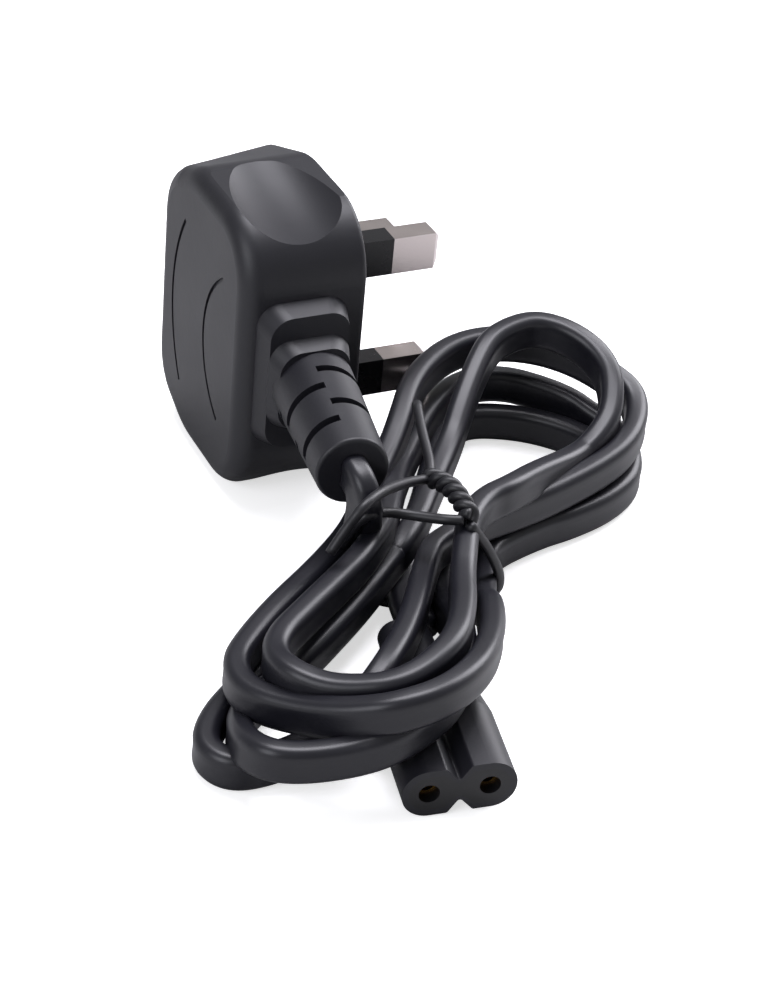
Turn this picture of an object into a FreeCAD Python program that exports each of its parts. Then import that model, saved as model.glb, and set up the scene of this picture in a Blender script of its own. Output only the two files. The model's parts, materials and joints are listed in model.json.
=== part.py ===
import FreeCAD, Part
import math
import os

from FreeCAD import Matrix, Placement, Rotation, Vector

# A two-core mains lead: a moulded three-pin plug, a flat twin cord wound into a tied hank, and a
# figure-eight socket connector. Sizes are in millimetres.
# The plug stands on its side: its pins point along +X, its earth pin is the one at +Y, its cord
# leaves towards -Y, and the line through the live and neutral pins is upright.
# The origin is on the floor under the middle of the plug.

# Plug pins
pinSpacing = 22.2          # live pin to neutral pin
earthRise = 22.2           # that line to the earth pin
pinWidth = 6.35
pinThickness = 4.0
pinLength = 17.7
earthWidth = 8.0
earthThickness = 4.0
earthLength = 22.7
pinChamfer = 0.9
sleeveLength = 9.5
sleeveWall = 0.55
pinTail = 13.2             # depth of the live and neutral pins behind the pin face
earthTail = 8.0

# Plug body
bodyDepth = 20.5
bodyHalfWidth = 24.3
sideFlat = 0.15            # the sides are planed flat by this much at their widest
cordSide = 13.0            # pin line to the side that the cord leaves
earthSide = 31.5           # pin line to the earth end, at the pin face
earthSideBack = 22.0       # the same at the back
earthEndHalf = 17.0        # half width of the earth end, at the pin face
earthEndHalfBack = 19.0    # the same at the back
shoulder = 11.0            # pin line to where the sides start to taper
cordCorner = 11.0          # corner radii of the outline
shoulderCorner = 16.0
earthCorner = 10.0
backRound = 3.2
rimRound = 1.0

# Finger dishes in the two long sides
dishDepth = 3.0
dishHalfWidth = 7.9
dishHalfLength = 19.0
dishMiddle = 10.0          # pin face to the dish's middle
dishLean = 9.0             # degrees; the dish is deepest towards the cord

# Curved mould lines on the back
grooveWidth = 0.7
grooveDepth = 0.4
innerGroove = (2.8, 15.0, 58.0)     # furthest point from the pin line, radius, half angle
outerGroove = (16.5, 27.0, 33.0)

# Stepped plinths under the strain relief: height, half width along X, half width along Z
plinthMiddle = 10.7        # pin face to the middle of the plinths
lowPlinth = (3.5, 7.5, 12.4)
highPlinth = (2.6, 6.7, 7.7)
plinthCorner = 3.6
plinthDraft = 0.9

# Slotted strain relief
reliefLength = 23.4
reliefTilt = 9.0           # it leans back from the pins, pulled by the cord
reliefBase = 6.5
reliefEnd = 5.6
reliefRound = 0.6
reliefRoot = 3.0           # its root inside the plinths
slotFirst = 4.2
slotPitch = 4.4
slotCount = 4
slotWidth = 1.5
slotDepth = 1.9
slotSpan = 92.0            # degrees round the relief

# Pin bridge, the rigid insert that holds the pins and the fuse
bridgeDepth = 11.0
bridgeWall = 1.0           # beyond the chamber on the cord side
bridgeHigh = 28.6          # its far end, from the pin line
bridgeHalfWidth = 17.0
bridgeCorner = 3.0

# Fuse, its carrier and its clips
fuseLength = 25.4
fuseCapRadius = 3.175
fuseCapLength = 6.0
fuseTubeRadius = 2.85
fuseMiddle = 3.2           # pin line to the middle of the fuse
fuseSink = 5.5             # pin face to the fuse's axis
carrierHalfWidth = 4.8
carrierEnds = 0.7          # the carrier stands this far past each end of the fuse
carrierPlate = 1.9
carrierGap = 0.2           # running gap all round the carrier
saddleWidth = 2.6
saddleOffset = 3.8
saddleGrip = 0.03
notchLength = 3.6
notchDepth = 1.0
clipGap = 0.15
clipThickness = 0.5
clipLength = 4.6
clipReach = 6.2            # height of the clip's leaves above its base
chamberFloor = 1.1
crimpRadius = 1.75
crimpLength = 4.5

# Cord
cordWidth = 6.0
cordThickness = 3.8
coreRadius = 1.1
corePitch = 2.6
plugCordLead = 3.8         # straight run beyond the strain relief
connectorCordLead = 4.0    # straight run beyond the connector
coreLeave = 3.0            # the plug's cores leave the sheath's line this far inside the body
brownBend = (6.5, 3.4)     # first bend of each core: beyond where it leaves, from the plug's middle
blueBend = (3.6, -6.2)
brownCrimpGap = 1.5        # from the live side's clip to the crimp

# Connector
contactSpacing = 8.6
connectorHeight = 7.7
noseLength = 13.6
bodyLength = 27.0
tailLength = 8.5
bodyBackHalf = 4.6         # half width where the tail starts
tailHalf = 3.9
tailHeight = 6.0
notchHalfWidth = 1.8
notchRise = 2.3
notchRound = 0.45
insertWall = 1.0
insertLength = 17.0
contactMouth = 1.5
mouthDepth = 2.2
contactRadius = 1.2
contactWall = 0.3
contactLength = 11.5
contactSlit = 0.5
connectorCrimp = 4.0
coreStraight = 2.6         # straight run of each core behind its crimp
tailInset = 0.5            # the cores come together this far inside the tail
connectorPlace = (-19.6, -86.0)     # middle of its face on the floor
connectorTurn = -12.0      # degrees about Z
connectorLean = 5.0        # it rests on one lobe

# Tied hank: outlines seen from above, as smooth closed curves
hankBottom = 0.2
beyond = 90.0              # longer than anything that is cut away
upperOutline = [(-8.5, -27.0), (-1.5, -16.5), (6.0, -6.8), (12.0, -0.8), (17.6, 1.9), (23.5, 5.0),
                (31.0, 7.2), (38.5, 5.6), (44.5, 0.6), (48.5, -7.5), (48.8, -15.5), (44.5, -23.0),
                (36.0, -29.8), (26.0, -33.6), (15.5, -36.4), (7.3, -42.5), (-2.0, -36.0)]
upperHole = [(9.0, -26.0), (13.5, -17.0), (19.0, -8.6), (26.0, -4.2), (32.5, -6.4), (35.6, -12.6),
             (32.6, -20.6), (25.0, -25.8), (16.5, -28.6)]
lowerOutline = [(-15.5, -34.0), (-23.5, -41.2), (-33.5, -49.2), (-44.0, -57.2), (-50.3, -65.0),
                (-48.8, -72.2), (-41.5, -75.8), (-33.5, -80.4), (-25.0, -83.4), (-16.0, -80.8),
                (-8.2, -74.2), (-2.2, -64.4), (0.9, -55.6), (0.3, -49.6), (-6.0, -42.5)]
lowerHole = [(-12.8, -46.0), (-21.6, -51.8), (-30.4, -59.4), (-34.0, -66.4), (-28.4, -72.0),
             (-20.4, -71.4), (-13.4, -64.0), (-9.6, -54.6)]
waistMiddle = (-4.1, -38.3)
waistTurn = 45.0           # degrees from X to the way the cord runs through the waist
waistHalfLength = 7.0
waistHalfWidth = 10.6
waistLow = 1.9
waistHigh = 14.6
upperTop = 21.5            # height of the hank at its far right end
upperTopAt = 52.0          # how far from the waist that is
lowerTop = 20.0            # height at its front
lowerNear = 12.8           # height where it joins the waist
lowerTopAt = 30.0          # how far from the waist the front is
lowerTopWay = (0.45, -0.89)         # the way its top rises
tunnelHalfWidth = 9.6      # room for the connector under the hank
tunnelHeight = 8.6
tunnelFront = -6.0
tunnelLength = 50.0
drawerRoomX = 15.5         # the hank stays low beside the fuse carrier's way out
drawerRoomY = -7.0
drawerRoomZ = 18.2

# Cord between the plug and the hank, and between the hank and the connector
plugCordRoute = [(-14.8, -43.4, 22.2), (-10.9, -44.4, 18.6), (-7.9, -40.8, 14.6), (-8.0, -38.2, 10.8)]
connectorCordRoute = [(-8.4, -42.8, 4.8), (-5.0, -38.4, 6.0)]

# Wire tie
tieWire = 0.8
tieClear = 0.25
tieTurnRadius = 4.5
knotRadius = 1.7
knotStart = (-1.9, -32.8, 17.6)
knotEnd = (2.0, -42.6, 16.8)
leftEndRoute = [(-2.6, -32.6, 17.4), (-7.2, -33.0, 17.2), (-12.4, -34.4, 16.6), (-17.4, -38.0, 15.2),
                (-20.4, -41.2, 13.6)]
upEndRoute = [(-1.6, -33.0, 17.8), (0.8, -28.2, 19.0), (1.8, -22.6, 20.2), (4.6, -16.4, 20.6)]

# Worked out from the sizes above
liveHeight = pinSpacing / 2
tilt = math.radians(reliefTilt)
plinthEnd = cordSide + lowPlinth[0] + highPlinth[0]
tipLength = reliefLength - reliefRound
tipRadius = reliefEnd - reliefRound
reliefReach = plinthEnd + tipLength * math.cos(tilt) + tipRadius * math.sin(tilt) + reliefRound
reliefBack = plinthMiddle + tipLength * math.sin(tilt) + tipRadius * math.cos(tilt) + reliefRound
faceX = (max(bodyDepth, reliefBack) - earthLength) / 2
lineY = (reliefReach - earthSide) / 2
floorToLine = bodyHalfWidth
plugPlace = Vector(faceX, lineY, floorToLine)
chamberDepth = bridgeDepth - chamberFloor
carrierHalfLength = fuseLength / 2 + carrierEnds
bridgeLow = fuseMiddle - carrierHalfLength - carrierGap - bridgeWall
endSlope = (earthSide - earthSideBack) / bodyDepth
up = Vector(0, 0, 1)


def box(x0, x1, y0, y1, z0, z1):
    """A block between two corners."""
    return Part.makeBox(x1 - x0, y1 - y0, z1 - z0, Vector(x0, y0, z0))


def arcCorner(before, corner, after, radius):
    """Ends and middle of the arc that rounds a corner of an outline."""
    first = (before - corner).normalize()
    second = (after - corner).normalize()
    half = first.getAngle(second) / 2
    reach = radius / math.tan(half)
    middle = corner + (first + second).normalize() * (radius / math.sin(half) - radius)
    return corner + first * reach, middle, corner + second * reach


def roundedOutline(corners):
    """Closed wire through points, each with its corner radius; 0 keeps it sharp."""
    points = [Vector(*c[:3]) for c in corners]
    arcs = []
    for i, corner in enumerate(corners):
        if corner[3] > 0:
            arcs.append(arcCorner(points[i - 1], points[i], points[(i + 1) % len(points)], corner[3]))
        else:
            arcs.append((points[i], None, points[i]))
    edges = []
    for i, (start, middle, end) in enumerate(arcs):
        if middle is not None:
            edges.append(Part.Arc(start, middle, end).toShape())
        following = arcs[(i + 1) % len(arcs)][0]
        if end.distanceToPoint(following) > 1e-6:
            edges.append(Part.LineSegment(end, following).toShape())
    return Part.Wire(edges)


def smoothOutline(points, height=0.0):
    """Closed smooth curve through points seen from above."""
    curve = Part.BSplineCurve()
    curve.interpolate(Points=[Vector(x, y, height) for x, y in points], PeriodicFlag=True)
    return Part.Wire([curve.toShape()])


def extrude(wire, way):
    """Solid between a flat wire and the same wire moved along way."""
    return Part.Face(wire).extrude(way)


def routeWire(points, label=None):
    """Straight runs joined by tangent arcs, each as large as its two runs allow."""
    points = [Vector(*p) for p in points]
    edges = []
    start = points[0]
    radii = []
    for i in range(1, len(points) - 1):
        before, corner, after = points[i - 1], points[i], points[i + 1]
        turn = (corner - before).getAngle(after - corner)
        shorter = min(before.distanceToPoint(corner), corner.distanceToPoint(after))
        radius = 0.45 * shorter / math.tan(turn / 2)
        radii.append(round(radius, 1))
        first, middle, last = arcCorner(before, corner, after, radius)
        edges.append(Part.LineSegment(start, first).toShape())
        edges.append(Part.Arc(first, middle, last).toShape())
        start = last
    edges.append(Part.LineSegment(start, points[-1]).toShape())
    if label:
        print(label, "bend radii", radii)
    return Part.Wire(edges)


def sweep(profile, path):
    """Solid swept along a path, its section kept square to the path."""
    return path.makePipeShell([profile], True, False)


def roundTube(points, radius, label=None):
    """Round wire or core along a route."""
    path = routeWire(points, label)
    way = (Vector(*points[1]) - Vector(*points[0])).normalize()
    circle = Part.Wire([Part.makeCircle(radius, Vector(*points[0]), way)])
    return sweep(circle, path)


def flatSection(centre, way, width=cordWidth, thickness=cordThickness):
    """Outline of the flat cord, on edge, square to way."""
    side = way.cross(up).normalize()
    rise = side.cross(way).normalize()
    flat = (width - thickness) / 2
    radius = thickness / 2
    upper = [centre + rise * flat + side * radius, centre + rise * (flat + radius),
             centre + rise * flat - side * radius]
    lower = [centre - rise * flat - side * radius, centre - rise * (flat + radius),
             centre - rise * flat + side * radius]
    return Part.Wire([Part.Arc(*upper).toShape(), Part.LineSegment(upper[2], lower[0]).toShape(),
                      Part.Arc(*lower).toShape(), Part.LineSegment(lower[2], upper[0]).toShape()])


def flatTube(points, label):
    """Flat cord along a route, with its volume set against section times length."""
    path = routeWire(points, label)
    way = (Vector(*points[1]) - Vector(*points[0])).normalize()
    section = flatSection(Vector(*points[0]), way)
    tube = sweep(section, path)
    expected = Part.Face(section).Area * path.Length
    print(label, "volume", round(tube.Volume), "section times length", round(expected))
    return tube


def moved(shape, place):
    """Copy of a shape carried to its place in the lead."""
    copy = shape.copy()
    copy.Placement = place.multiply(copy.Placement)
    return copy


def onPlug(shape):
    return moved(shape, Placement(plugPlace, Rotation()))


# Plug parts are drawn from the middle of the pin line on the pin face, then moved to plugPlace


def bodyOutline(x, end, endHalf):
    """Outline of the plug seen from its pins, at one depth."""
    half = []
    half.append((x, -cordSide, bodyHalfWidth + sideFlat, cordCorner))
    half.append((x, shoulder, bodyHalfWidth + sideFlat, shoulderCorner))
    half.append((x, end, endHalf, earthCorner))
    mirrored = [(p[0], p[1], -p[2], p[3]) for p in reversed(half)]
    return roundedOutline(half + mirrored)


def bodyBlock():
    """The moulding before its plinths: sloping earth end, rounded back and rim."""
    outlines = [bodyOutline(-bodyDepth, earthSideBack, earthEndHalfBack),
                bodyOutline(0, earthSide, earthEndHalf)]
    block = Part.makeLoft(outlines, True, True)
    rim = [e for e in block.Edges if all(abs(v.X) < 1e-3 for v in e.Vertexes)]
    block = block.makeFillet(rimRound, rim)
    back = [e for e in block.Edges if all(abs(v.X + bodyDepth) < 1e-3 for v in e.Vertexes)]
    block = block.makeFillet(backRound, back)
    return block.common(box(-bodyDepth, 0, -earthSide, earthSide, -bodyHalfWidth, bodyHalfWidth))


def fingerDish():
    """Spindle that hollows one long side: an arc turned about a line along Y."""
    over = (dishHalfWidth ** 2 - dishDepth ** 2) / (2 * dishDepth)
    belly = over + dishDepth
    bend = dishHalfLength ** 2 / (2 * dishDepth)
    reach = math.sqrt(bend ** 2 - (bend - 0.9 * belly) ** 2)
    narrow = 0.1 * belly
    arc = Part.Arc(Vector(0, -reach, narrow), Vector(0, 0, belly), Vector(0, reach, narrow)).toShape()
    sides = Part.makePolygon([Vector(0, reach, narrow), Vector(0, reach, 0), Vector(0, -reach, 0),
                              Vector(0, -reach, narrow)])
    face = Part.Face(Part.Wire([arc] + sides.Edges))
    spindle = face.revolve(Vector(0, 0, 0), Vector(0, 1, 0), 360)
    spindle.translate(Vector(-dishMiddle, 0, bodyHalfWidth + over))
    spindle.rotate(Vector(-dishMiddle, 0, bodyHalfWidth - dishDepth), Vector(1, 0, 0), dishLean)
    return spindle


def plinth(start, sizes):
    """Low rounded block on the cord side, narrowing a little towards its top."""
    height, halfX, halfZ = sizes
    outlines = []
    for y, shrink in ((-start + 1.0, 0), (-start, 0), (-start - height, plinthDraft)):
        x0, x1 = -plinthMiddle - halfX + shrink, -plinthMiddle + halfX - shrink
        z1 = halfZ - shrink
        outlines.append(roundedOutline([(x0, y, -z1, plinthCorner), (x1, y, -z1, plinthCorner),
                                        (x1, y, z1, plinthCorner), (x0, y, z1, plinthCorner)]))
    base = extrude(outlines[0], Vector(0, -1.0, 0))
    return base.fuse(Part.makeLoft(outlines[1:], True, True)).removeSplitter()


def reliefAxis():
    """Start of the strain relief and the way it points."""
    start = Vector(-plinthMiddle, -plinthEnd, 0)
    return start, Vector(-math.sin(tilt), -math.cos(tilt), 0)


def reliefPlace():
    """Placement that stands a shape built along Z on the strain relief's axis."""
    start, way = reliefAxis()
    return Placement(start, Rotation(Vector(0, 0, 1), way))


def reliefSlot(index):
    """Two opposite slots at one station; every other station is turned a quarter turn."""
    at = slotFirst + index * slotPitch
    radius = reliefBase + (reliefEnd - reliefBase) * at / reliefLength
    slots = []
    for side in (0, 180):
        turn = 45 + 90 * (index % 2) + side
        ring = Part.makeCylinder(radius + 2, slotWidth, Vector(0, 0, at - slotWidth / 2), up, slotSpan)
        ring = ring.cut(Part.makeCylinder(radius - slotDepth, slotWidth + 2, Vector(0, 0, at - slotWidth)))
        ring.rotate(Vector(), up, turn - slotSpan / 2)
        slots.append(ring)
    return slots[0].fuse(slots[1])


def strainRelief():
    """Tapered tail with staggered slots that let it bend."""
    cone = Part.makeCone(reliefBase, reliefEnd, reliefLength)
    root = Part.makeCylinder(reliefBase, reliefRoot, Vector(0, 0, -reliefRoot))
    tail = cone.fuse(root).removeSplitter()
    rim = [e for e in tail.Edges if all(abs(v.Z - reliefLength) < 1e-3 for v in e.Vertexes)]
    tail = tail.makeFillet(reliefRound, rim)
    for index in range(slotCount):
        tail = tail.cut(reliefSlot(index))
    return moved(tail, reliefPlace())


def backGroove(top, radius, halfAngle):
    """Curved line sunk in the back."""
    centre = Vector(-bodyDepth - 1, top - radius, 0)
    ring = Part.makeCylinder(radius + grooveWidth / 2, 1 + grooveDepth, centre, Vector(1, 0, 0))
    ring = ring.cut(Part.makeCylinder(radius - grooveWidth / 2, 3, centre, Vector(1, 0, 0)))
    reach = 2 * radius
    spread = reach * math.tan(math.radians(halfAngle))
    wedge = Part.makePolygon([centre, centre + Vector(0, reach, -spread), centre + Vector(0, reach, spread),
                              centre])
    return ring.common(extrude(wedge, Vector(3, 0, 0)))


def pinBlock(length, width, thickness, upright, tail):
    """Flat pin with a chamfered tip and a tail behind the pin face."""
    halfY, halfZ = (thickness / 2, width / 2) if upright else (width / 2, thickness / 2)
    pin = box(-tail, length, -halfY, halfY, -halfZ, halfZ)
    tip = [e for e in pin.Edges if all(abs(v.X - length) < 1e-3 for v in e.Vertexes)]
    return pin.makeChamfer(pinChamfer, tip)


def sleevedPin(height):
    """Live or neutral pin: its waist is cut back for the sleeve."""
    pin = pinBlock(pinLength, pinWidth, pinThickness, True, pinTail)
    pin = pin.cut(pinSleeve(0))
    pin.translate(Vector(0, 0, height))
    return pin


def pinSleeve(height):
    """Insulating sleeve, flush with the pin."""
    halfY, halfZ = pinThickness / 2, pinWidth / 2
    sleeve = box(-chamberFloor, sleeveLength, -halfY, halfY, -halfZ, halfZ)
    sleeve = sleeve.cut(box(-2 * chamberFloor, 2 * sleeveLength, -halfY + sleeveWall, halfY - sleeveWall,
                            -halfZ + sleeveWall, halfZ - sleeveWall))
    sleeve.translate(Vector(0, 0, height))
    return sleeve


def earthPin():
    pin = pinBlock(earthLength, earthWidth, earthThickness, False, earthTail)
    pin.translate(Vector(0, earthRise, 0))
    return pin


def fuseChamber():
    """Space in the bridge for the carrier, open at the pin face."""
    half = carrierHalfLength + carrierGap
    return box(-chamberDepth, 1, fuseMiddle - half, fuseMiddle + half, -carrierHalfWidth - carrierGap,
               carrierHalfWidth + carrierGap)


def fuseCarrier():
    """Pull-out drawer: a cover plate with two saddles that hold the fuse."""
    low, high = fuseMiddle - carrierHalfLength, fuseMiddle + carrierHalfLength
    carrier = box(-carrierPlate, 0, low, high, -carrierHalfWidth, carrierHalfWidth)
    for side in (-1, 1):
        middle = fuseMiddle + side * saddleOffset
        carrier = carrier.fuse(box(-fuseSink - fuseTubeRadius / 2, -carrierPlate + 0.5,
                                   middle - saddleWidth / 2, middle + saddleWidth / 2,
                                   -carrierHalfWidth, carrierHalfWidth))
        rib = box(-fuseSink, -carrierPlate + 0.5, fuseMiddle - saddleOffset, fuseMiddle + saddleOffset,
                  carrierHalfWidth - 1.1, carrierHalfWidth)
        if side < 0:
            rib.translate(Vector(0, 0, 1.1 - 2 * carrierHalfWidth))
        carrier = carrier.fuse(rib)
    bedRadius = fuseTubeRadius + saddleGrip
    bedStart = Vector(-fuseSink, fuseMiddle - fuseLength / 2, 0)
    bed = Part.makeCylinder(bedRadius, fuseLength, bedStart, Vector(0, 1, 0))
    mouth = box(-2 * fuseSink, -fuseSink, low, high, -bedRadius, bedRadius)
    carrier = carrier.cut(bed).cut(mouth)
    notch = box(-notchDepth, 1, high - notchDepth, high + 1, -notchLength / 2, notchLength / 2)
    return carrier.cut(notch).removeSplitter()


def fuseTube():
    inner = fuseLength / 2 - fuseCapLength
    start = Vector(-fuseSink, fuseMiddle - inner, 0)
    return Part.makeCylinder(fuseTubeRadius, 2 * inner, start, Vector(0, 1, 0))


def fuseCap(side):
    """Brass cap on one end of the fuse."""
    start = fuseMiddle + side * (fuseLength / 2 - fuseCapLength)
    cap = Part.makeCylinder(fuseCapRadius, fuseCapLength, Vector(-fuseSink, start, 0), Vector(0, side, 0))
    end = [e for e in cap.Edges if all(abs(v.Y - start - side * fuseCapLength) < 1e-3 for v in e.Vertexes)]
    return cap.makeFillet(0.4, end)


def clipMiddle(side):
    return fuseMiddle + side * (fuseLength / 2 - fuseCapLength / 2)


def fuseClip(side):
    """Folded clip: a base on the chamber's floor, two leaves beside the cap and a tail behind."""
    middle = clipMiddle(side)
    y0, y1 = middle - clipLength / 2, middle + clipLength / 2
    inner = fuseCapRadius + clipGap
    base = -chamberDepth
    clip = box(base, base + clipThickness, y0, y1, -inner - clipThickness, inner + clipThickness)
    for z in (-inner - clipThickness, inner):
        clip = clip.fuse(box(base, base + clipReach, y0, y1, z, z + clipThickness))
    tail = box(-pinTail, base + clipThickness, middle - 1.5, middle + 1.5, -0.5, 0.5)
    clip = clip.fuse(tail)
    if side < 0:
        # the live end is joined to the live pin by a strap behind the bridge
        halfY = pinThickness / 2
        strap = box(-pinTail, -pinTail + 0.8, middle - 1.5, halfY, -0.5, liveHeight - pinWidth / 2)
        clip = clip.fuse(strap)
    return clip.removeSplitter()


def bridgeBlock():
    """Outline of the rigid insert."""
    outline = roundedOutline([(-bridgeDepth, bridgeLow, -bridgeHalfWidth, bridgeCorner),
                              (-bridgeDepth, bridgeLow, bridgeHalfWidth, bridgeCorner),
                              (-bridgeDepth, bridgeHigh, 0.62 * bridgeHalfWidth, bridgeCorner),
                              (-bridgeDepth, bridgeHigh, -0.62 * bridgeHalfWidth, bridgeCorner)])
    block = extrude(outline, Vector(bridgeDepth, 0, 0))
    # its far end slopes like the plug's
    reach = 2 * bodyHalfWidth
    beyond = Part.makePolygon([Vector(0, bridgeHigh, -reach), Vector(0, bridgeHigh + reach, -reach),
                               Vector(-bodyDepth, bridgeHigh + reach, -reach),
                               Vector(-bodyDepth, bridgeHigh - endSlope * bodyDepth, -reach),
                               Vector(0, bridgeHigh, -reach)])
    return block.cut(extrude(beyond, Vector(0, 0, 2 * reach)))


def sheathEnd():
    """End of the cord's sheath, held inside the strain relief and the body."""
    start, way = reliefAxis()
    outer = start + way * reliefLength
    length = reliefLength + plinthEnd - cordSide - 2.5
    sheath = Part.Face(flatSection(outer, way)).extrude(way * -length)
    for side in (-1, 1):
        sheath = sheath.cut(core(side))
    return sheath


def coreRoute(side):
    """Run of one core from the end of the relief to its crimp."""
    start, way = reliefAxis()
    offset = Vector(0, 0, side * corePitch / 2)
    outer = start + way * reliefLength + offset
    leave = start - way * (plinthEnd - cordSide - coreLeave) + offset
    deep = -pinTail - crimpRadius
    if side > 0:
        end = Vector(deep, clipMiddle(1) - brownCrimpGap - crimpLength, 0)
        route = [outer, leave, Vector(deep, leave.y + brownBend[0], brownBend[1]), end]
    else:
        end = Vector(deep, -crimpLength / 2, -liveHeight)
        route = [outer, leave, Vector(deep, leave.y + blueBend[0], blueBend[1]), end]
    return route


def core(side):
    """Insulated core inside the plug."""
    return roundTube([tuple(p) for p in coreRoute(side)], coreRadius)


def crimp(side):
    """Crimp that joins a core to the fuse clip or to the neutral pin."""
    route = coreRoute(side)
    end = route[-1]
    way = (end - route[-2]).normalize()
    return Part.makeCylinder(crimpRadius, crimpLength, end, way)


def plugParts():
    parts = {}
    parts["earth_pin"] = earthPin()
    for name, height in (("live", liveHeight), ("neutral", -liveHeight)):
        parts[name + "_pin"] = sleevedPin(height)
        parts[name + "_pin_sleeve"] = pinSleeve(height)
    parts["fuse_carrier"] = fuseCarrier()
    parts["fuse_tube"] = fuseTube()
    parts["fuse_cap_live"] = fuseCap(-1)
    parts["fuse_cap_load"] = fuseCap(1)
    parts["fuse_clip_live"] = fuseClip(-1)
    parts["fuse_clip_load"] = fuseClip(1)
    parts["plug_sheath_end"] = sheathEnd()
    parts["plug_brown_core"] = core(1)
    parts["plug_blue_core"] = core(-1)
    parts["brown_crimp"] = crimp(1)
    parts["blue_crimp"] = crimp(-1)
    bridge = bridgeBlock().cut(fuseChamber())
    for name in ("earth_pin", "live_pin", "neutral_pin", "live_pin_sleeve", "neutral_pin_sleeve",
                 "fuse_clip_live", "fuse_clip_load"):
        bridge = bridge.cut(parts[name])
    parts["pin_bridge"] = bridge
    body = bodyBlock()
    body = body.fuse(plinth(cordSide, lowPlinth)).fuse(plinth(cordSide + lowPlinth[0], highPlinth))
    body = body.fuse(strainRelief())
    dish = fingerDish()
    body = body.cut(dish).cut(dish.mirror(Vector(), Vector(0, 0, 1)))
    body = body.cut(backGroove(*innerGroove)).cut(backGroove(*outerGroove))
    body = body.cut(bridgeBlock())
    for name in ("earth_pin", "live_pin", "neutral_pin", "fuse_clip_live", "fuse_clip_load",
                 "plug_sheath_end", "plug_brown_core", "plug_blue_core", "brown_crimp", "blue_crimp"):
        body = body.cut(parts[name])
    parts["plug_body"] = body
    return {name: onPlug(shape) for name, shape in parts.items()}


# Connector parts are drawn from the middle of the face, with the body along +Y


def figureEight(y, half, height, inset=0.0):
    """Outline of the connector: two round lobes with a notch above and below."""
    radius = height / 2 - inset
    end = half + height / 2 - inset
    deep = height / 2 - notchRise
    wide = notchHalfWidth + 0.4 * inset
    low = deep - 0.6 * inset
    round_ = min(radius * 0.98, end * 0.9)
    right = [(end, y, -radius, round_), (end, y, radius, round_), (wide, y, radius, 0.5),
             (0, y, low, notchRound), (-wide, y, radius, 0.5)]
    left = [(-end, y, radius, round_), (-end, y, -radius, round_), (-wide, y, -radius, 0.5),
            (0, y, -low, notchRound), (wide, y, -radius, 0.5)]
    return roundedOutline(right + left)


def connectorShell():
    """Outer moulding: straight nose, tapering grip and round tail."""
    half = contactSpacing / 2
    nose = extrude(figureEight(0, half, connectorHeight), Vector(0, noseLength, 0))
    front = figureEight(noseLength, half, connectorHeight)
    back = figureEight(bodyLength, bodyBackHalf - connectorHeight / 4, connectorHeight - 0.9)
    grip = Part.makeLoft([front, back], True, True)
    way = Vector(0, 1, 0)
    tailSections = [flatRing(Vector(0, y, 0), way, w, h) for y, w, h in
                    ((bodyLength - 2.5, 2 * tailHalf + 1.0, tailHeight + 0.4),
                     (bodyLength + tailLength, 2 * tailHalf, tailHeight))]
    tail = Part.makeLoft(tailSections, True, True)
    return nose.fuse(grip).fuse(tail).removeSplitter()


def flatRing(centre, way, width, thickness):
    """Round-ended outline lying flat, wider across than it is high."""
    side = way.cross(up).normalize()
    flat = (width - thickness) / 2
    radius = thickness / 2
    right = [centre + side * flat - up * radius, centre + side * (flat + radius),
             centre + side * flat + up * radius]
    left = [centre - side * flat + up * radius, centre - side * (flat + radius),
            centre - side * flat - up * radius]
    return Part.Wire([Part.Arc(*right).toShape(), Part.LineSegment(right[2], left[0]).toShape(),
                      Part.Arc(*left).toShape(), Part.LineSegment(left[2], right[0]).toShape()])


def contactSocket(side):
    """Rolled brass socket with a slit, and its crimp behind."""
    x = side * contactSpacing / 2
    start = Vector(x, mouthDepth, 0)
    way = Vector(0, 1, 0)
    tube = Part.makeCylinder(contactRadius + contactWall, contactLength, start, way)
    tube = tube.cut(Part.makeCylinder(contactRadius, contactLength - 1.0, start, way))
    slit = box(x - contactSlit / 2, x + contactSlit / 2, mouthDepth - 1, mouthDepth + contactLength - 2.5, 0,
               contactRadius + 1)
    barrel = Part.makeCylinder(contactRadius + contactWall, connectorCrimp,
                               Vector(x, mouthDepth + contactLength, 0), way)
    return tube.cut(slit).fuse(barrel).removeSplitter()


def connectorCoreRoute(side):
    start = mouthDepth + contactLength + connectorCrimp
    x = side * contactSpacing / 2
    inner = side * corePitch / 2
    tail = bodyLength + tailLength
    joined = bodyLength - tailInset
    return [(x, start, 0), (x, start + coreStraight, 0), (inner, joined, 0), (inner, tail, 0)]


def connectorSheath():
    """End of the cord's sheath inside the connector's tail."""
    way = Vector(0, 1, 0)
    start = Vector(0, bodyLength, 0)
    sheath = Part.Face(flatRing(start, way, cordWidth, cordThickness)).extrude(Vector(0, tailLength, 0))
    for side in (-1, 1):
        sheath = sheath.cut(roundTube(connectorCoreRoute(side), coreRadius))
    return sheath


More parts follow.
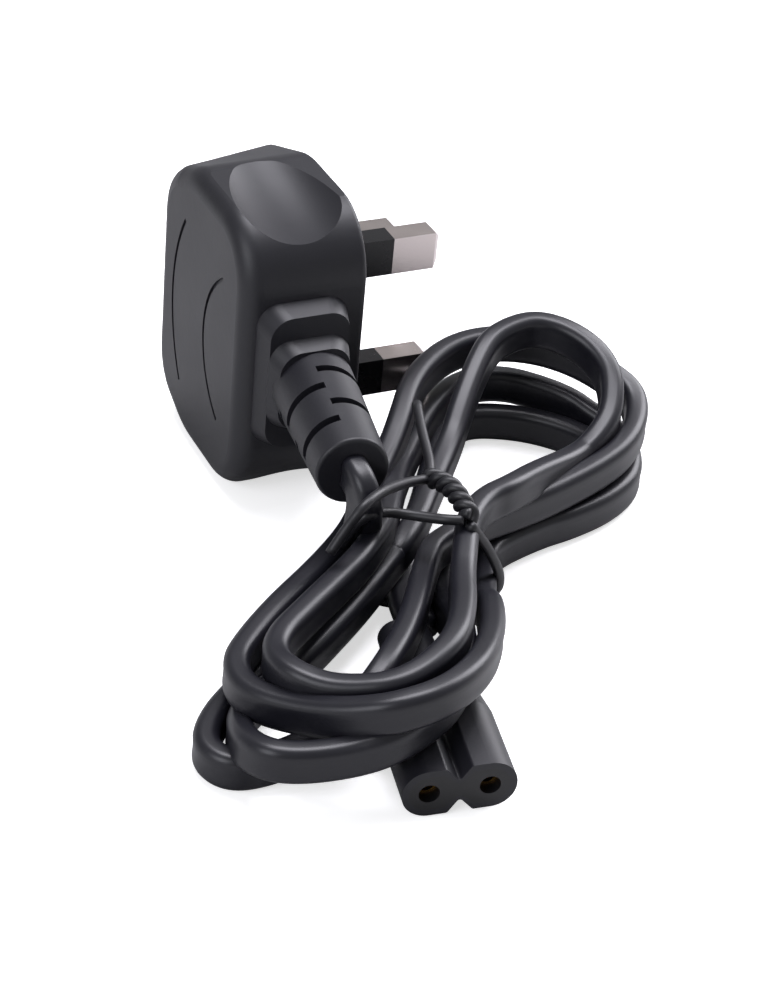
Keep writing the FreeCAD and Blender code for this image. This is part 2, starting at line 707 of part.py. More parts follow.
def connectorParts():
    half = contactSpacing / 2
    parts = {}
    parts["contact_live"] = contactSocket(1)
    parts["contact_neutral"] = contactSocket(-1)
    parts["connector_brown_core"] = roundTube(connectorCoreRoute(1), coreRadius)
    parts["connector_blue_core"] = roundTube(connectorCoreRoute(-1), coreRadius)
    parts["connector_sheath_end"] = connectorSheath()
    block = extrude(figureEight(0, half, connectorHeight, insertWall), Vector(0, insertLength, 0))
    insert = block
    for side in (-1, 1):
        mouth = Vector(side * half, 0, 0)
        insert = insert.cut(Part.makeCylinder(contactMouth, mouthDepth, mouth, Vector(0, 1, 0)))
        insert = insert.cut(Part.makeCylinder(contactRadius + contactWall, insertLength,
                                              Vector(side * half, mouthDepth, 0), Vector(0, 1, 0)))
    parts["connector_insert"] = insert
    body = connectorShell().cut(block)
    for name in ("contact_live", "contact_neutral", "connector_brown_core", "connector_blue_core",
                 "connector_sheath_end"):
        body = body.cut(parts[name])
    parts["connector_body"] = body
    return {name: moved(shape, connectorPlacement()) for name, shape in parts.items()}


def connectorPlacement():
    """Where the connector lies: turned on the floor and leaning onto one lobe."""
    lean = math.radians(connectorLean)
    height = connectorHeight / 2 + contactSpacing / 2 * math.sin(lean)
    turn = Rotation(up, connectorTurn).multiply(Rotation(Vector(0, 1, 0), -connectorLean))
    return Placement(Vector(connectorPlace[0], connectorPlace[1], height), turn)


# Hank, cords and tie are drawn where they lie


def waistWays():
    angle = math.radians(waistTurn)
    return Vector(math.cos(angle), math.sin(angle), 0), Vector(math.sin(angle), -math.cos(angle), 0)


def lobe(outline, hole, height):
    ring = extrude(smoothOutline(outline, hankBottom), Vector(0, 0, height))
    return ring.cut(extrude(smoothOutline(hole, hankBottom - 1), Vector(0, 0, height + 2)))


def slopingTop(shape, anchor, way, low, high, distance):
    """Cuts a lobe's top to a slope that rises from low at the anchor to high at a distance."""
    reach = 2 * beyond
    rise = (high - low) / distance
    start = anchor - way * reach
    end = anchor + way * reach
    across = way.cross(up).normalize() * reach
    corners = [start - across + up * (low - rise * reach), end - across + up * (low + rise * reach),
               end - across + up * (low + 2 * reach), start - across + up * (low + 2 * reach)]
    wedge = extrude(Part.makePolygon(corners + corners[:1]), across * 2)
    return shape.cut(wedge)


def hank():
    """Closed solid of the tied hank: two open lobes joined by a narrow waist."""
    along, across = waistWays()
    middle = Vector(waistMiddle[0], waistMiddle[1], 0)
    upper = lobe(upperOutline, upperHole, upperTop)
    upper = slopingTop(upper, middle, along, waistHigh, upperTop, upperTopAt)
    lower = lobe(lowerOutline, lowerHole, lowerTop)
    rising = Vector(*lowerTopWay, 0).normalize()
    lower = slopingTop(lower, middle, rising, lowerNear, lowerTop, lowerTopAt)
    lower = lower.cut(moved(box(-tunnelHalfWidth, tunnelHalfWidth, tunnelFront, tunnelLength,
                                -tunnelHeight, tunnelHeight),
                            Placement(Vector(connectorPlace[0], connectorPlace[1], 0),
                                      Rotation(up, connectorTurn))))
    upper = upper.cut(box(-drawerRoomX, drawerRoomX, drawerRoomY, beyond, drawerRoomZ, beyond))
    solid = upper.fuse(lower)
    # the waist: everything is cut away round it, where the tie runs
    gate = box(-waistHalfLength, waistHalfLength, -beyond / 2, beyond / 2, -beyond, beyond)
    corner = tieTurnRadius - tieClear - tieWire
    section = roundedOutline([(-waistHalfLength, y, z, corner) for y, z in
                              ((-waistHalfWidth, waistLow), (waistHalfWidth, waistLow),
                               (waistHalfWidth, waistHigh), (-waistHalfWidth, waistHigh))])
    waist = extrude(section, Vector(2 * waistHalfLength, 0, 0))
    place = Placement(middle, Rotation(up, waistTurn))
    return solid.cut(moved(gate, place)).fuse(moved(waist, place)).removeSplitter()


def largestSolid(shape):
    return max(shape.Solids, key=lambda s: s.Volume)


def cordFromPlug(hankSolid):
    """Cord from the end of the strain relief into the top of the waist."""
    start, way = reliefAxis()
    exit_ = start + way * reliefLength + plugPlace
    out = exit_ + way * plugCordLead
    tube = flatTube([tuple(exit_), tuple(out)] + plugCordRoute, "cord from plug")
    return largestSolid(tube.cut(hankSolid))


def cordToConnector(hankSolid):
    """Cord from the connector's tail into the underside of the hank."""
    place = connectorPlacement()
    tail = place.multVec(Vector(0, bodyLength + tailLength, 0))
    out = place.multVec(Vector(0, bodyLength + tailLength + connectorCordLead, 0))
    tube = flatTube([tuple(tail), tuple(out)] + connectorCordRoute, "cord to connector")
    return largestSolid(tube.cut(hankSolid))


def wireTie():
    """Plastic-covered wire: one loop round the waist, a twisted knot and two free ends."""
    along, across = waistWays()
    middle = Vector(waistMiddle[0], waistMiddle[1], 0)
    half = waistHalfWidth + tieClear + tieWire
    low = waistLow - tieClear - tieWire
    high = waistHigh + tieClear + tieWire
    places = ((-half, low), (half, low), (half, high), (-half, high))
    corners = [middle + across * x + up * z for x, z in places]
    loop = roundedOutline([(c.x, c.y, c.z, tieTurnRadius) for c in corners])
    start = loop.Edges[1].valueAt(loop.Edges[1].FirstParameter)
    way = loop.Edges[1].tangentAt(loop.Edges[1].FirstParameter)
    ring = Part.Wire([Part.makeCircle(tieWire, start, way)])
    path = Part.Wire(loop.Edges[1:] + loop.Edges[:1])
    tie = path.makePipeShell([ring], True, False)
    knotWay = Vector(*knotEnd) - Vector(*knotStart)
    tie = tie.fuse(Part.makeCylinder(knotRadius, knotWay.Length, Vector(*knotStart), knotWay))
    for route in (leftEndRoute, upEndRoute):
        tie = tie.fuse(roundTube(route, tieWire))
    return tie.removeSplitter()


def cordParts():
    parts = {}
    hankSolid = hank()
    parts["cord_hank"] = hankSolid
    parts["cord_from_plug"] = cordFromPlug(hankSolid)
    parts["cord_to_connector"] = cordToConnector(hankSolid)
    parts["cord_tie"] = wireTie()
    return parts


def main():
    os.makedirs("parts", exist_ok=True)
    parts = {}
    parts.update(plugParts())
    parts.update(connectorParts())
    parts.update(cordParts())
    for name, shape in parts.items():
        solids = shape.Solids
        print(name, "solids", len(solids), "volume", round(shape.Volume, 1), "valid", shape.isValid())
        whole = solids[0] if len(solids) == 1 else Part.makeCompound(solids)
        whole.exportStep("parts/" + name + ".step")


main()
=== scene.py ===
import json
import math

import bpy
import numpy as np
from mathutils import Matrix, Vector


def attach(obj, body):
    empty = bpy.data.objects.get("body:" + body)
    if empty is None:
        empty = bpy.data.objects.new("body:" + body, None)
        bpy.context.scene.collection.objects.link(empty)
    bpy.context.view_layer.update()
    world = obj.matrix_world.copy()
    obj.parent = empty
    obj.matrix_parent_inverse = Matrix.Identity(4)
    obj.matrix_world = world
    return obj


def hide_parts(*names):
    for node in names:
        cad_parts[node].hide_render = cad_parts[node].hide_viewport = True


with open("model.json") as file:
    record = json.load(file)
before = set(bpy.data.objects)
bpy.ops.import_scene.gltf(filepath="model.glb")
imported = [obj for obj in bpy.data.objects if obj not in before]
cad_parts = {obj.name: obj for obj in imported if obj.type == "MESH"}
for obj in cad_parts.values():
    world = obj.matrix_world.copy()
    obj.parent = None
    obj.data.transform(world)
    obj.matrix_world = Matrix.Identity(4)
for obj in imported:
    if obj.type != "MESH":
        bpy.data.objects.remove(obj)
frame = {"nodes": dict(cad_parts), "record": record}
nodes = frame["nodes"]
mm = 0.001  # settings and routes are in mm unless a note says otherwise, meshes are in metres


def noteSize():
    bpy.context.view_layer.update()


noteSize()
print("frame loaded")

# The plug and the hank rest on the floor at z = 0, and the pins point towards +X

# What each surface is made of and what that gives the eye. The real grains are finer than a pixel,
# so each is drawn coarser, as wide as grainWidth says, for it to show at all
finishes = {
    # moulded PVC of the plug and the connector: satin black that spreads a highlight
    "mouldedPvc": {"colour": "17171d", "rough": 0.46, "metallic": 0.0,
                   "grain": 0.06, "grainWidth": 1.111, "mottle": 0.10},
    # moulded nylon of the insert, the fuse carrier and the pin bridge: smoother, a neutral black
    "insertNylon": {"colour": "121214", "rough": 0.38, "metallic": 0.0,
                    "grain": 0.03, "grainWidth": 0.833, "mottle": 0.06},
    # extruded PVC of the cord: smooth along its length, with long soft highlights
    "cordPvc": {"colour": "16161d", "rough": 0.38, "metallic": 0.0,
                "grain": 0.03, "grainWidth": 0.667, "mottle": 0.10},
    # hard plastic sleeves on the pins: the glossiest of the blacks
    "sleevePlastic": {"colour": "111114", "rough": 0.28, "metallic": 0.0,
                      "grain": 0.02, "grainWidth": 0.667, "mottle": 0.05},
    # plastic coat of the wire tie: dull black
    "tiePlastic": {"colour": "19191d", "rough": 0.45, "metallic": 0.0,
                   "grain": 0.03, "grainWidth": 0.5, "mottle": 0.05},
    # nickel-plated brass of the pins: bright and slightly warm, with soft reflections
    "nickelBrass": {"colour": "dcd2cf", "rough": 0.26, "metallic": 1.0,
                    "grain": 0.03, "grainWidth": 0.625, "mottle": 0.12},
    # bare brass of the contacts, the clips and the crimps: yellow metal
    "contactBrass": {"colour": "c79a52", "rough": 0.30, "metallic": 1.0,
                     "grain": 0.02, "grainWidth": 0.625, "mottle": 0.10},
    # plated end caps of the fuse: clean silver
    "fuseMetal": {"colour": "c9c8c4", "rough": 0.25, "metallic": 1.0,
                  "grain": 0.01, "grainWidth": 0.625, "mottle": 0.06},
    # ceramic tube of the fuse: matt cream
    "fuseCeramic": {"colour": "e2ddd0", "rough": 0.55, "metallic": 0.0,
                    "grain": 0.02, "grainWidth": 0.714, "mottle": 0.05},
    # coloured PVC of the two cores
    "brownPvc": {"colour": "5a3420", "rough": 0.40, "metallic": 0.0,
                 "grain": 0.02, "grainWidth": 0.714, "mottle": 0.06},
    "bluePvc": {"colour": "2c5f9e", "rough": 0.40, "metallic": 0.0,
                "grain": 0.02, "grainWidth": 0.714, "mottle": 0.06},
}
patternSettings = {"grainDetail": 3.0, "grainDepth": 0.2, "mottleGrains": 12, "mottleDetail": 4.0,
                   "roughSpread": 0.05, "ior": 1.5}


def linear(hexColour):
    # sRGB to linear: over 12.92 up to 0.04045, above that 0.055 more, over 1.055, to the power 2.4
    values = [int(hexColour[i:i + 2], 16) / 255 for i in (0, 2, 4)]
    return [v / 12.92 if v <= 0.04045 else ((v + 0.055) / 1.055) ** 2.4 for v in values] + [1.0]


def addNode(tree, kind, values, links):
    # One shader node with its settings, its socket values and what feeds its sockets
    node = tree.nodes.new(kind)
    for name, value in values.items():
        if name in node.inputs:
            node.inputs[name].default_value = value
        else:
            setattr(node, name, value)
    for name, source in links.items():
        tree.links.new(source, node.inputs[name])
    return node


def finish(name):
    # A fine noise is the grain and lifts the surface; a noise some grains wide is the mottle, which
    # takes the colour and the roughness a little up and down
    setting = finishes[name]
    pattern = patternSettings
    material = bpy.data.materials.new(name)
    material.use_nodes = True
    tree = material.node_tree
    tree.nodes.clear()
    place = addNode(tree, "ShaderNodeTexCoord", {}, {}).outputs["Object"]
    grainScale = 1 / (setting["grainWidth"] * mm)
    grain = addNode(tree, "ShaderNodeTexNoise",
                    {"Scale": grainScale, "Detail": pattern["grainDetail"]}, {"Vector": place})
    mottle = addNode(tree, "ShaderNodeTexNoise",
                     {"Scale": grainScale / pattern["mottleGrains"], "Detail": pattern["mottleDetail"]},
                     {"Vector": place})
    base = linear(setting["colour"])
    colour = addNode(tree, "ShaderNodeMix", {"data_type": "RGBA"}, {})
    factorSocket, lowSocket, highSocket = colour.inputs[0], colour.inputs[6], colour.inputs[7]
    tree.links.new(mottle.outputs["Fac"], factorSocket)
    lowSocket.default_value = [v * (1 - setting["mottle"]) for v in base[:3]] + [1.0]
    highSocket.default_value = [v * (1 + setting["mottle"]) for v in base[:3]] + [1.0]
    rough = addNode(tree, "ShaderNodeMapRange",
                    {"To Min": setting["rough"] - pattern["roughSpread"],
                     "To Max": setting["rough"] + pattern["roughSpread"]},
                    {"Value": mottle.outputs["Fac"]})
    bump = addNode(tree, "ShaderNodeBump",
                   {"Strength": setting["grain"], "Distance": pattern["grainDepth"] * mm},
                   {"Height": grain.outputs["Fac"]})
    shader = addNode(tree, "ShaderNodeBsdfPrincipled",
                     {"Metallic": setting["metallic"], "IOR": pattern["ior"]},
                     {"Base Color": colour.outputs[2], "Roughness": rough.outputs["Result"],
                      "Normal": bump.outputs["Normal"]})
    addNode(tree, "ShaderNodeOutputMaterial", {}, {"Surface": shader.outputs["BSDF"]})
    return material


materials = {name: finish(name) for name in finishes}
slotFinish = {"black_pvc": "mouldedPvc", "black_nylon": "insertNylon", "cord_pvc": "cordPvc",
              "sleeve_plastic": "sleevePlastic", "tie_plastic": "tiePlastic",
              "nickel_brass": "nickelBrass", "contact_brass": "contactBrass",
              "fuse_metal": "fuseMetal", "fuse_ceramic": "fuseCeramic",
              "brown_pvc": "brownPvc", "blue_pvc": "bluePvc"}
for part in frame["record"]["subparts"]:
    node = nodes[part["node"]]
    node.data.materials.clear()
    node.data.materials.append(materials[slotFinish[part["material_slot"]]])
print("materials on the frame")


def makeMesh(name, points, faces, material, body):
    # A smooth-shaded piece from its vertices in metres and its faces, riding on a body
    mesh = bpy.data.meshes.new(name)
    mesh.from_pydata([tuple(p) for p in points], [], [tuple(f) for f in faces])
    mesh.polygons.foreach_set("use_smooth", [True] * len(mesh.polygons))
    mesh.materials.append(material)
    mesh.update()
    made = bpy.data.objects.new(name, mesh)
    bpy.context.scene.collection.objects.link(made)
    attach(made, body)
    return made


def curvePoints(name, controls, steps):
    # Points in metres along the smooth curve that a route's points pull towards themselves, read
    # from a curve with no thickness that is removed again
    curve = bpy.data.curves.new(name, "CURVE")
    curve.dimensions = "3D"
    curve.resolution_u = steps
    spline = curve.splines.new("NURBS")
    spline.points.add(len(controls) - 1)
    for point, control in zip(spline.points, controls):
        point.co = (*[c * mm for c in control], 1.0)
    spline.order_u = 3
    spline.use_endpoint_u = True
    holder = bpy.data.objects.new(name, curve)
    bpy.context.scene.collection.objects.link(holder)
    bpy.context.view_layer.update()
    line = bpy.data.meshes.new_from_object(holder)
    points = np.zeros(len(line.vertices) * 3)
    line.vertices.foreach_get("co", points)
    bpy.data.objects.remove(holder)
    bpy.data.curves.remove(curve)
    bpy.data.meshes.remove(line)
    return points.reshape(-1, 3)


def unit(rows):
    # Each row divided by its own length
    return rows / np.linalg.norm(rows, axis=1)[:, None]


def directions(points):
    # Unit directions along a line: from the point before to the point after
    return unit(np.gradient(points, axis=0))


def distances(points):
    # Distance of each point from the start: the sum of the steps before it
    return np.concatenate([[0], np.cumsum(np.linalg.norm(np.diff(points, axis=0), axis=1))])


def smoothStep(share):
    # 0 to 1 with level ends: three times the share squared less twice its cube
    share = np.clip(share, 0, 1)
    return share * share * (3 - 2 * share)


def steadyFrames(points, firstRise):
    # Two unit sides at each point that turn as little as they can: the last rise less its part
    # along the line, and the cross of the direction with it
    ways = directions(points)
    rises = np.zeros_like(points)
    rise = np.array(firstRise, float)
    for i, way in enumerate(ways):
        rise = rise - way * rise.dot(way)
        rise /= np.linalg.norm(rise)
        rises[i] = rise
    return np.cross(ways, rises), rises


def tube(points, sides, rises, outline):
    # An outline carried along a line: point plus side times its x plus rise times its y, with quads
    # between one outline and the next and a face on each end
    count, around = len(points), len(outline)
    grid = points[:, None, :] + sides[:, None, :] * outline[None, :, :1]
    grid = grid + rises[:, None, :] * outline[None, :, 1:]
    rows = np.arange(count - 1)[:, None] * around
    steps = np.arange(around)[None, :]
    following = (steps + 1) % around
    quads = np.stack([rows + steps, rows + following,
                      rows + around + following, rows + around + steps], -1)
    faces = [list(quad) for quad in quads.reshape(-1, 4)]
    lastRow = (count - 1) * around
    startFace = list(range(around))[::-1]
    endFace = list(range(lastRow, lastRow + around))
    return grid.reshape(-1, 3), faces + [startFace, endFace]


# Cord: a flat twin section on edge, from the plug's relief through the hank into the connector.
# flatFrom and flatTo are measured back from the connector, dropFrom and dropTo from the plug
cordSettings = {"width": 6.0, "thickness": 3.8, "corner": 1.45, "cornerSteps": 6, "waist": 0.07,
                "waistSteps": 3, "flatFrom": 34.0, "flatTo": 8.0, "dropFrom": 24.0, "dropTo": 46.0,
                "curveSteps": 10, "length": 1045.4}
# In the order of the cord. Its legs and front turns are numbered from the floor up
cordRoute = {
    "outOfPlug": [(-15.5, -36.5, 24.3), (-15.5, -39.5, 24.2), (-15, -40.5, 21), (-14, -38.5, 17),
                  (-13.5, -37, 12), (-14, -37.5, 7.6)],
    "firstLegDown": [(-16, -40, 4), (-19.5, -43, 3), (-24, -47.5, 3)],
    "firstFrontTurn": [(-28.5, -48, 3), (-34.5, -51.5, 3), (-40, -55.5, 3), (-46, -60.5, 3),
                       (-49.5, -66, 3), (-47.5, -71, 3), (-41.5, -71.5, 3), (-34, -70.5, 4),
                       (-29.5, -71.5, 8.5), (-24.5, -69.5, 12.8)],
    "firstLegUp": [(-16, -60, 11.6), (-6, -44.5, 9.8), (-2.5, -39.5, 9), (3, -37, 9), (9, -34.5, 9)],
    "upperFarTurn": [(16, -33, 9), (23, -31, 9), (32.5, -27.5, 9.2), (39.5, -23.5, 9.4),
                     (45, -17.5, 9.8), (47.5, -11.5, 11), (45, -6.5, 12.6), (41.5, -2, 14),
                     (36.5, 2, 15), (30, 4, 15.8), (23, 4, 16), (16.5, 1.5, 15.6), (10, -3.5, 14.6),
                     (5, -10.5, 13)],
    "thirdLegDown": [(1.5, -15, 11.6), (-2.5, -19.5, 10.4), (-6.5, -24.5, 9.8), (-10.5, -29.5, 9.6),
                     (-14, -33.5, 9.5), (-19, -38, 9.5), (-24, -42, 9.5)],
    "thirdFrontTurn": [(-30.5, -47, 9.8), (-37.5, -53, 9.8), (-42.5, -58.5, 10), (-43, -65.5, 10.4),
                       (-38, -72.5, 11.6), (-33, -78.5, 14.2), (-28, -82, 16.6), (-20.5, -81.5, 17.2),
                       (-12.5, -75.5, 15.6), (-6, -66.5, 12.8), (-1, -56.5, 9.8)],
    "thirdLegUp": [(0.5, -51.5, 6.6), (3.5, -46, 4.4), (6.5, -40.5, 3.2), (9.5, -35, 3)],
    "lowerFarTurn": [(20, -31.5, 3), (27, -30.5, 3), (35, -28, 3), (41.5, -23.5, 3), (45, -16.5, 3.2),
                     (45, -11, 4), (42.5, -7, 5), (40.5, -3, 6), (36, 1, 7), (31.5, 4.5, 7.4),
                     (26, 5.5, 7.4), (20.5, 3.5, 7.4), (14, -2, 7.2), (8, -9.5, 7)],
    "fourthLegDown": [(1.5, -18, 7.6), (-3.5, -26.5, 10), (-8.5, -35, 12.4), (-13, -40.5, 13.4),
                      (-17.5, -45, 13.6), (-23, -49, 13.4)],
    "topFrontTurn": [(-31, -55, 13.4), (-36, -59, 13.6), (-38.5, -63.5, 14), (-38, -68.5, 14.8),
                     (-35, -72, 14.4), (-31.5, -74.5, 14.8), (-26.5, -77, 16), (-21, -76, 17),
                     (-14.5, -71.5, 17.4), (-9.5, -63.5, 16)],
    "fourthLegUp": [(-5.5, -55, 14.6), (-2.5, -49.5, 15), (0.5, -44, 15.2), (4, -40, 15),
                    (7.5, -37.5, 14.8)],
    "topFarTurn": [(11.5, -36.5, 15), (18.5, -31.5, 13), (30, -24.5, 9.6), (34.5, -22.5, 11),
                   (38.5, -19.5, 13), (41, -14.5, 16), (41, -10.5, 18), (39.5, -6.5, 19.4),
                   (36.5, -3, 20.4), (33, -1, 20.8), (28.5, -1.5, 20.8), (24, -3, 20), (20, -6.5, 18),
                   (15, -12, 14.6), (11, -17, 11.5)],
    "secondLegDown": [(2, -27.5, 9.6), (-1.5, -32, 9.2), (-6.5, -37, 8.6), (-8.5, -38, 7.6),
                      (-17, -46, 7.4), (-27.5, -53.5, 6.2)],
    "secondFrontTurn": [(-33, -55.5, 3.4), (-38.5, -58.5, 3.4), (-43, -63, 4.2), (-46, -71, 7.4),
                        (-45, -77, 9.2), (-41, -79, 9), (-34.5, -80.5, 9.4), (-29, -82, 11.2),
                        (-23, -80, 11.6), (-17, -76.5, 11.8), (-12, -70, 12.2), (-7, -58.5, 10)],
    "secondLegUp": [(-3.5, -47, 3.2), (-1.5, -41, 3), (1.5, -35.5, 3), (5.5, -31, 3)],
    "floorFarTurn": [(18.5, -28.5, 3), (24.5, -27, 3), (32.5, -24, 3), (38, -20, 3), (41, -13.5, 3),
                     (38.5, -8, 3), (34.5, -3.5, 3), (30, -0.5, 3), (24.5, 1.5, 3), (20, 0, 3),
                     (16, -4, 3)],
    "intoConnector": [(1, -26.5, 3), (-2, -32, 3), (-5, -37, 3), (-7.5, -42, 3.1), (-9, -50, 3.8)],
}


def flatOutline():
    # Section in metres: a rectangle with round corners, whose wide sides sink by the waist times
    # one less the squared share of the way from the middle to the corner
    corner = cordSettings["corner"]
    inX = cordSettings["thickness"] / 2 - corner
    inY = cordSettings["width"] / 2 - corner
    angles = np.linspace(0, math.pi / 2, cordSettings["cornerSteps"] + 1)
    arc = np.stack([np.cos(angles), np.sin(angles)], 1) * corner
    rightTop = arc + [inX, inY]
    leftTop = np.stack([-arc[::-1, 0], arc[::-1, 1]], 1) + [-inX, inY]
    heights = np.linspace(inY, -inY, cordSettings["waistSteps"] + 2)[1:-1]
    sink = cordSettings["waist"] * (1 - (heights / inY) ** 2)
    leftSide = np.stack([-inX - corner + sink, heights], 1)
    return np.concatenate([rightTop, leftTop, leftSide, -rightTop, -leftTop, -leftSide]) * mm


def cordFrames(points):
    # The wide side stands upright: straight up less its part along the cord. Where the cord drops
    # from the plug it keeps the frames that turn least instead, and before the connector it rolls
    # a quarter turn to lie flat. Smooth steps lead from one to the next
    ways = directions(points)
    along = distances(points) / mm
    up = np.array([0.0, 0.0, 1.0])
    standing = unit(np.cross(np.cross(ways, up), ways))
    dropping = steadyFrames(points, up)[1]
    dropLength = cordSettings["dropTo"] - cordSettings["dropFrom"]
    stands = smoothStep((along - cordSettings["dropFrom"]) / dropLength)[:, None]
    standing = unit(standing * stands + dropping * (1 - stands))
    toGo = along[-1] - along
    rollLength = cordSettings["flatFrom"] - cordSettings["flatTo"]
    roll = smoothStep((cordSettings["flatFrom"] - toGo) / rollLength)[:, None] * math.pi / 2
    rises = standing * np.cos(roll) + np.cross(ways, standing) * np.sin(roll)
    return np.cross(ways, rises), rises


def makeCord():
    # The flat section carried along the whole route
    controls = [point for leg in cordRoute.values() for point in leg]
    points = curvePoints("cordLine", controls, cordSettings["curveSteps"])
    sides, rises = cordFrames(points)
    vertices, faces = tube(points, sides, rises, flatOutline())
    made = makeMesh("windingCord", vertices, faces, materials["cordPvc"], "lead")
    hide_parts("cord_hank", "cord_from_plug", "cord_to_connector")
    print("cord length", round(distances(points)[-1] / mm), "points", len(points))
    return made, points


windingCord, cordLine = makeCord()

# Wire tie: one loop round the hank, a twisted knot of two strands and two free ends
tieSettings = {"radius": 0.8, "twistRadius": 0.85, "twists": 3.2, "sides": 14, "curveSteps": 8,
               "knotSteps": 24, "firstRise": (0.1, 0.2, 1.0)}
tieWires = {
    "tieLoop": [(-1.7, -46.5, 19.4), (-3.8, -45.8, 19.4), (-5.5, -43.8, 18.8), (-8.6, -41.1, 18.4),
                (-11.6, -40.5, 19), (-15.3, -43, 21), (-16.7, -42.3, 19.6), (-16.9, -40, 16),
                (-16.3, -36.7, 11), (-15.1, -34.6, 6), (-13.2, -34.5, 2), (-11, -37.2, 0.9),
                (-7.9, -39.8, 0.9), (-2.8, -41.2, 0.9), (3.5, -42.4, 0.9), (7.2, -43.6, 2.4),
                (7, -44.6, 6), (4.5, -45.8, 11), (1.6, -46.6, 15.6), (-0.8, -47.2, 18.8)],
    "tieUpEnd": [(-1.2, -34.1, 18.9), (0.1, -31.5, 19.2), (1.3, -27.5, 19.4), (2.8, -22.1, 19.8),
                 (5, -15.7, 20)],
    "tieLeftEnd": [(-1.6, -34.2, 18.9), (-5, -36.1, 20.4), (-9.7, -39.5, 22.6), (-14.9, -43.9, 25),
                   (-18.5, -46.6, 25), (-20.7, -46.2, 21.4), (-23.2, -47, 18.4)],
}
tieKnot = [(-1.3, -33.8, 18.9), (-0.2, -37.3, 20), (-0.1, -41.9, 20.2), (-0.5, -46.6, 19.6)]


def roundWire(points):
    # A ring of the tie's radius carried along a line
    angles = np.linspace(0, 2 * math.pi, tieSettings["sides"], endpoint=False)
    ring = np.stack([np.cos(angles), np.sin(angles)], 1) * tieSettings["radius"] * mm
    sides, rises = steadyFrames(points, tieSettings["firstRise"])
    return tube(points, sides, rises, ring)


def makeTie():
    # The loop and the free ends follow their routes. The two strands of the knot are helices round
    # its middle line, half a turn apart: side times cosine plus rise times sine of the turned angle
    shapes = []
    for name, controls in tieWires.items():
        shapes.append(roundWire(curvePoints(name, controls, tieSettings["curveSteps"])))
    middle = curvePoints("tieKnot", tieKnot, tieSettings["knotSteps"])
    sides, rises = steadyFrames(middle, tieSettings["firstRise"])
    share = distances(middle) / distances(middle)[-1]
    for start in (0, math.pi):
        angle = (start + share * tieSettings["twists"] * 2 * math.pi)[:, None]
        offset = (sides * np.cos(angle) + rises * np.sin(angle)) * tieSettings["twistRadius"] * mm
        shapes.append(roundWire(middle + offset))
    vertices, faces, count = [], [], 0
    for points, wireFaces in shapes:
        vertices.append(points)
        faces += [[i + count for i in face] for face in wireFaces]
        count += len(points)
    made = makeMesh("wireTie", np.concatenate(vertices), faces, materials["tiePlastic"],
                    "lead")
    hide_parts("cord_tie")
    return made


wireTie = makeTie()

print("cord and tie made")

# Floor: white to the camera, grey to reflections and bounced light so that the black sides stay
# dark. reach is in metres, and the floor lies a little below the lead so that no faces meet
floorSettings = {"reach": 6.0, "below": 0.2, "rough": 0.6, "specular": 0.1,
                 "shadeBounced": 0.5, "shadeSeen": 0.9, "glowSeen": 0.62}


def makeFloor():
    mesh = bpy.data.meshes.new("floor")
    reach = floorSettings["reach"]
    mesh.from_pydata([(-reach, -reach, 0), (reach, -reach, 0), (reach, reach, 0), (-reach, reach, 0)],
                     [], [(0, 1, 2, 3)])
    material = bpy.data.materials.new("whiteTable")
    material.use_nodes = True
    tree = material.node_tree
    tree.nodes.clear()
    seen = addNode(tree, "ShaderNodeLightPath", {}, {}).outputs["Is Camera Ray"]
    glow = addNode(tree, "ShaderNodeMapRange", {"To Min": 0.0, "To Max": floorSettings["glowSeen"]},
                   {"Value": seen})
    shade = addNode(tree, "ShaderNodeMapRange",
                    {"To Min": floorSettings["shadeBounced"], "To Max": floorSettings["shadeSeen"]},
                    {"Value": seen})
    shader = addNode(tree, "ShaderNodeBsdfPrincipled",
                     {"Roughness": floorSettings["rough"],
                      "Specular IOR Level": floorSettings["specular"],
                      "Emission Color": (1.0, 1.0, 1.0, 1.0)},
                     {"Base Color": shade.outputs["Result"],
                      "Emission Strength": glow.outputs["Result"]})
    addNode(tree, "ShaderNodeOutputMaterial", {}, {"Surface": shader.outputs["BSDF"]})
    mesh.materials.append(material)
    floor = bpy.data.objects.new("floor", mesh)
    floor.location = (0, 0, -floorSettings["below"] * mm)
    bpy.context.scene.collection.objects.link(floor)


makeFloor()

# Lights: soft boxes that look at the lead, in metres and watts
lightTarget = (0, -0.03, 0.02)
lights = {
    "keyAbove": {"place": (0.12, 0.22, 1.0), "size": (0.7, 0.5), "power": 12.0,
                 "colour": (0.94, 0.93, 1)},
    "fillLeft": {"place": (-0.8, -0.35, 0.5), "size": (0.6, 0.6), "power": 4.2,
                 "colour": (0.92, 0.93, 1)},
    "backRight": {"place": (0.75, 0.3, 0.5), "size": (0.5, 0.7), "power": 8.0,
                  "colour": (0.95, 0.94, 1)},
}


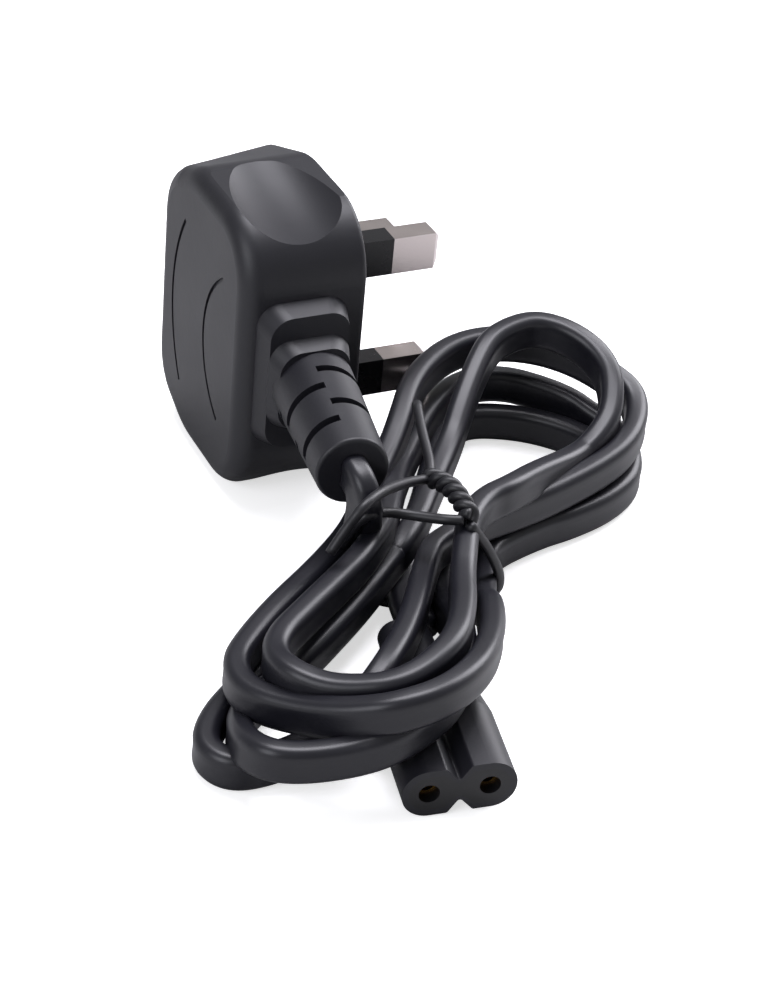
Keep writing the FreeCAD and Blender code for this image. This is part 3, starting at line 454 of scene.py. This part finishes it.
def softBox(name, settings):
    data = bpy.data.lights.new(name, "AREA")
    data.shape = "RECTANGLE"
    data.size, data.size_y = settings["size"]
    data.energy = settings["power"]
    data.color = settings["colour"]
    light = bpy.data.objects.new(name, data)
    light.location = settings["place"]
    way = Vector(lightTarget) - Vector(settings["place"])
    light.rotation_mode = "QUATERNION"
    light.rotation_quaternion = way.to_track_quat("-Z", "Y")
    bpy.context.scene.collection.objects.link(light)


for lightName, lightSettings in lights.items():
    softBox(lightName, lightSettings)

# Studio walls: white to the camera, dim to everything else
wallSettings = {"dim": 0.3, "seen": 1.0}


def makeWorld():
    world = bpy.data.worlds.new("studio")
    world.use_nodes = True
    tree = world.node_tree
    tree.nodes.clear()
    seen = addNode(tree, "ShaderNodeLightPath", {}, {}).outputs["Is Camera Ray"]
    strength = addNode(tree, "ShaderNodeMapRange",
                       {"To Min": wallSettings["dim"], "To Max": wallSettings["seen"]},
                       {"Value": seen})
    back = addNode(tree, "ShaderNodeBackground", {"Color": (1.0, 1.0, 1.0, 1.0)},
                   {"Strength": strength.outputs["Result"]})
    addNode(tree, "ShaderNodeOutputWorld", {}, {"Surface": back.outputs["Background"]})
    bpy.context.scene.world = world


makeWorld()
print("floor, lights and walls made")

# Camera of the photograph: its place in metres, and the directions of the picture's right and top
cameraSettings = {"lens": 96.0, "clipStart": 0.01, "clipEnd": 20,
                  "place": (-0.16204, -0.33067, 0.23704),
                  "imageRight": (0.90817, -0.41084, 0.08021),
                  "imageUp": (0.16704, 0.53139, 0.83049)}


def placeCamera():
    # The camera's axes are the picture's right and top and the cross of the two
    camera = bpy.data.objects.new("camera", bpy.data.cameras.new("camera"))
    camera.data.lens = cameraSettings["lens"]
    camera.data.clip_start = cameraSettings["clipStart"]
    camera.data.clip_end = cameraSettings["clipEnd"]
    right = Vector(cameraSettings["imageRight"])
    up = Vector(cameraSettings["imageUp"])
    axes = Matrix((right, up, right.cross(up))).transposed().to_4x4()
    camera.matrix_world = Matrix.Translation(cameraSettings["place"]) @ axes
    bpy.context.scene.collection.objects.link(camera)
    bpy.context.scene.camera = camera
    bpy.context.scene.view_settings.view_transform = "Standard"


placeCamera()

noteSize()
